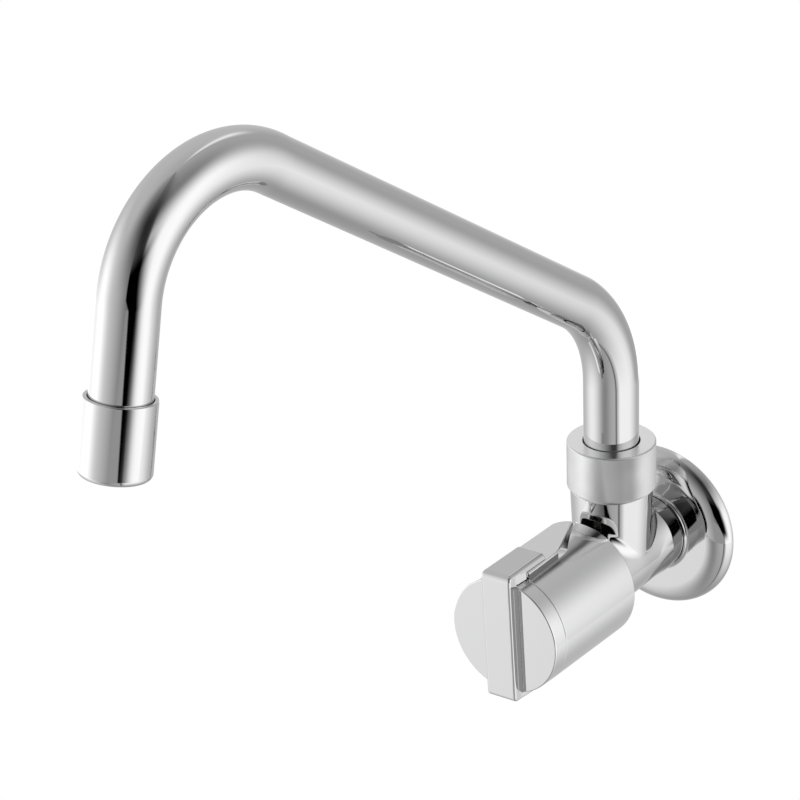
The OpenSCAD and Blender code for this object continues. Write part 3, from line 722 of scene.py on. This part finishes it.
def thread(count=120):
    rows = int((TAIL_L - TAIL_ROOT) / THREAD_PITCH * TURN_ROWS)
    t = np.linspace(0, 2 * math.pi, count, endpoint=False)
    y = np.linspace(TAIL_ROOT, TAIL_L, rows)
    a, b = np.meshgrid(t, y)
    wave = np.abs(((b / THREAD_PITCH - a / (2 * math.pi)) % 1.0) * 2 - 1)
    wave = np.clip((wave - THREAD_FLAT) / (1.0 - 2 * THREAD_FLAT), 0, 1)
    fade = np.clip((b - TAIL_ROOT - FADE_FROM) / FADE_L, 0, 1)
    r = TAIL_R - THREAD_DEPTH * wave * fade
    r = np.minimum(r, TAIL_R - np.clip(b - TAIL_L + END_BEVEL, 0, END_BEVEL))
    pts = np.stack([r * np.cos(a), b, r * np.sin(a)], -1)
    da = np.roll(pts, -1, 1) - np.roll(pts, 1, 1)
    db = np.gradient(pts, axis=0)
    nor = np.cross(db, da)
    nor /= np.linalg.norm(nor, axis=2, keepdims=True)
    faces = [f[::-1] for f in grid_faces(rows, count, False, True)]
    return pts.reshape(-1, 3), nor.reshape(-1, 3), faces


# The tower's upper end inside the collar, and the core of the tail
TOWER_IN_R, SLEEVE_Z = 10.05, 28.0
tower_sleeve = [
    (TOWER_R, SLEEVE_Z, 0), (TOWER_R, TOWER_TOP, 0.3),
    (TOWER_IN_R, TOWER_TOP, 0.3), (TOWER_IN_R, SLEEVE_Z, 0),
]
tail_core = [
    (CORE_R, TAIL_ROOT, 0), (CORE_END_R, TAIL_L, 0.1), (BORE_R, TAIL_L, 0.4), (BORE_R, TAIL_ROOT, 0),
]
piece(
    "body", "body", chrome_cast,
    [
        solid(body_distance, (-15.3, -54.0, -15.3), (15.3, 0.0, 29.6), COARSE),
        lathe(tower_sleeve, TOWER, Z),
        thread(),
        lathe(tail_core, ORIGIN, Y),
    ],
    ["body_casting"],
)


# Across, out from the wall and up in the handle's own frame, which leans to the left
def leaned(q):
    c, k = math.cos(LEAN), math.sin(LEAN)
    return q[:, 0] * c + q[:, 2] * k, -q[:, 1], q[:, 2] * c - q[:, 0] * k


# Fin: straight sides, a blunt tail of two facets and a slanted cut that leans out to the right
FIN_LEFT, FIN_RIGHT, FIN_FOOT = 6.8, 6.6, 19.0
FLARE, FLARE_D = 0.03, 74.0
TAIL_FACETS = ((-2.3, 52.4, math.radians(61.9)), (-4.36, 53.5, math.radians(42.37)))
CUT_X, CUT_D, CUT_SLOPE, CUT_SCALE = 6.45, 73.6, 0.387, 0.8
CUT_LEAN_D, CUT_LEAN = (53.0, 70.0), (0.3, 0.9)


def fin_distance(q):
    x, d, z = leaned(q)
    facets = [(at_x - x) * math.cos(a) + (at_d - d) * math.sin(a) for at_x, at_d, a in TAIL_FACETS]
    tail = np.maximum(*facets)
    right = x - FIN_RIGHT - FLARE * (d - FLARE_D)
    plan = rounded(rounded(-FIN_LEFT - x, tail, 1.5), right, 0.5)
    steep = np.interp(d, CUT_LEAN_D, CUT_LEAN)
    cut = (x - CUT_X - CUT_SLOPE * (d - CUT_D) - steep * (FIN_TOP - z)) * CUT_SCALE
    plan = np.maximum(rounded(plan, cut, 0.8), d - SEAM)
    return np.maximum(rounded(plan, z - FIN_TOP, 0.4), FIN_FOOT - z)


# Handle barrel, open and unplated at the rear, with the fin on top
INSERT_REAR, INSERT_FRONT = depths("handle_insert")
SOCKET_IN_R, SOCKET_R = 7.1, 9.6
BARREL_IN_R, CAP_SEAT_R = 18.6, 18.5
barrel = piece(
    "handle_barrel_skin", "handle", chrome_moulded,
    [
        lathe(
            [
                (KNOB_R, KNOB_REAR, 0.5), (SEAM_R, SEAM, 0.3), (CAP_SEAT_R, SEAM, 0),
                (CAP_SEAT_R, CAP_BACK, 0), (SCREW_HOLE_R, CAP_BACK, 0), (SCREW_HOLE_R, INSERT_FRONT, 0),
                (SOCKET_IN_R, INSERT_FRONT, 0), (SOCKET_IN_R, INSERT_REAR, 0.2),
                (SOCKET_R, INSERT_REAR, 0.4), (SOCKET_R, INSERT_FRONT, 0.8),
                (BARREL_IN_R, INSERT_FRONT, 1.0), (BARREL_IN_R, KNOB_REAR, 0.4),
            ],
            ORIGIN, -Y, count=220,
        ),
        solid(fin_distance, (-8.2, -92.0, 18.6), (8.2, -51.4, 23.6), FINE),
    ],
    ["handle_barrel"],
)


# The barrel's finishes: unplated inside, satin outside, and a painted shade stripe along the fin's right side
PLATED_R = BARREL_IN_R + 0.2


def on_inside(c, n):
    return math.hypot(c.x, c.z) < PLATED_R


def on_barrel(c, n):
    radial = abs(c.z * n.x - c.x * n.z) < 1.0
    return PLATED_R < math.hypot(c.x, c.z) < KNOB_R + 0.1 and n.y < 0.5 and radial


# the faces on the fin's right side that get the painted shade
def on_fin_side_painted_shade(c, n):
    return n.x > 0.7 and FIN_FOOT + 0.4 < c.z < FIN_TOP - 0.5 and -c.y > CUT_D - 0.1


refinish(barrel, unplated, on_inside)
refinish(barrel, chrome_barrel, on_barrel)
refinish(barrel, chrome_painted_shade, on_fin_side_painted_shade)

# Front cap, its rim finished like the barrel
SCREW_HEAD_R, SCREW_SEAT = 4.3, 92.0
CAP_SPIGOT_R = 18.4
cap = piece(
    "handle_cap_skin", "handle", chrome,
    [lathe(
        [
            (SEAM_R, SEAM, 0.3), (FACE_R, KNOB_FRONT, 0.45), (SCREW_HEAD_R, KNOB_FRONT, 0.2),
            (SCREW_HEAD_R, SCREW_SEAT, 0), (SCREW_HOLE_R, SCREW_SEAT, 0), (SCREW_HOLE_R, CAP_BACK, 0),
            (CAP_SPIGOT_R, CAP_BACK, 0.2), (CAP_SPIGOT_R, SEAM, 0),
        ],
        ORIGIN, -Y, count=220,
    )],
    ["handle_cap"],
)
refinish(cap, chrome_moulded, lambda c, n: abs(n.y) < 0.5)

# Trim: blade over the cap with an upper arm that narrows outwards and a lower one with straight sides
ARM_END, BLADE_FACE = depths("handle_trim")
LOW_ARM_END = 82.3
TRIM_TOP, TRIM_LOW = 24.8, 22.6
TRIM_D, TRIM_HALF = (82.0, SEAM, KNOB_FRONT), (6.6, 6.35, 5.8)
SLANT, ROOM_Z, CAP_INSET = 0.55, 5.0, 0.5


def trim_distance(q):
    x, d, z = leaned(q)
    x = np.abs(x)
    shape = rounded(rounded(d - BLADE_FACE, z - TRIM_TOP, 2.2), -z - TRIM_LOW, 1.8)
    slanted = (x - TRIM_HALF[1] + SLANT * (z - FIN_TOP)) / math.hypot(1.0, SLANT)
    side = np.maximum(x - np.interp(d, TRIM_D, TRIM_HALF), slanted)
    shape = rounded(shape, side, 0.8)
    # room for the fin behind the seam and for the cap in front of it
    fin_room = np.maximum(np.maximum(d - SEAM, z - FIN_TOP), ROOM_Z - z)
    cap_room = np.maximum(d - KNOB_FRONT + CAP_INSET, np.hypot(x, z) - KNOB_R)
    room = np.minimum(fin_room, cap_room)
    return rounded(np.maximum(shape, -room), np.where(z > 0, ARM_END, LOW_ARM_END) - d, 0.35)


# A fine rib runs down each flank of the blade
RIB_D, RIB_WIDTH, RIB_ROUND = 98.5, 0.4, 0.17
RIB_IN, RIB_OUT = 5.5, 5.98
RIB_LOW, RIB_HIGH = -19.4, 18.9
across = np.array([math.cos(LEAN), 0.0, math.sin(LEAN)])
ribs = []
for sign in (-1.0, 1.0):
    rib = [
        (sign * RIB_IN, RIB_D, 0), (sign * RIB_IN, RIB_D + RIB_WIDTH, 0),
        (sign * RIB_OUT, RIB_D + RIB_WIDTH, RIB_ROUND), (sign * RIB_OUT, RIB_D, RIB_ROUND),
    ]
    ribs.append(prism(rib, across, -Y, RIB_LOW, RIB_HIGH, 0.1))
piece(
    "handle_trim_skin", "handle", chrome,
    [solid(trim_distance, (-8.0, -101.6, -23.4), (8.0, -79.4, 25.6), FINE)] + ribs,
    ["handle_trim"],
)

# The frame's own inner pieces get their finish
LOOKS = {
    "flange_ring": rubber, "lower_slip_ring": plastic, "upper_slip_ring": plastic, "valve_housing": brass,
    "housing_ring": rubber, "seat_seal": rubber, "fixed_disc": ceramic, "moving_disc": ceramic,
    "handle_screw": steel, "handle_insert": plastic, "spindle": brass, "spindle_ring": rubber,
    "spindle_clip": steel, "thrust_washer": plastic, "spout_pivot": brass, "pivot_rings": rubber,
    "outlet_nipple": brass, "nozzle_washer": rubber, "aerator_insert": plastic, "aerator_screens": steel,
}
for name, look in LOOKS.items():
    for place in frame["nodes"][name].material_slots:
        place.material = look

# Plain pale floor, white to the camera, in metres
FLOOR_Z, FLOOR_HALF = -0.12, 4.0
corners = [(FLOOR_HALF * a, FLOOR_HALF * b, FLOOR_Z) for a, b in ((-1, -1), (1, -1), (1, 1), (-1, 1))]
floor_mesh = bpy.data.meshes.new("floor")
floor_mesh.from_pydata(corners, [], [(0, 1, 2, 3)])
floor = bpy.data.objects.new("floor", floor_mesh)
scene.collection.objects.link(floor)
pale = bpy.data.materials.new("pale_floor")
pale.use_nodes = True
pale.node_tree.nodes.clear()
g = Web(pale.node_tree)
matte = g.new("ShaderNodeBsdfDiffuse")
matte.inputs["Color"].default_value = (0.8, 0.8, 0.8, 1.0)
glow = g.new("ShaderNodeEmission")
glow.inputs["Strength"].default_value = 1.0
g.put(g.new("ShaderNodeOutputMaterial").inputs["Surface"], g.white_to_camera(glow, matte))
floor_mesh.materials.append(pale)
# the chrome mirrors the studio's table in its place
floor.visible_glossy = False
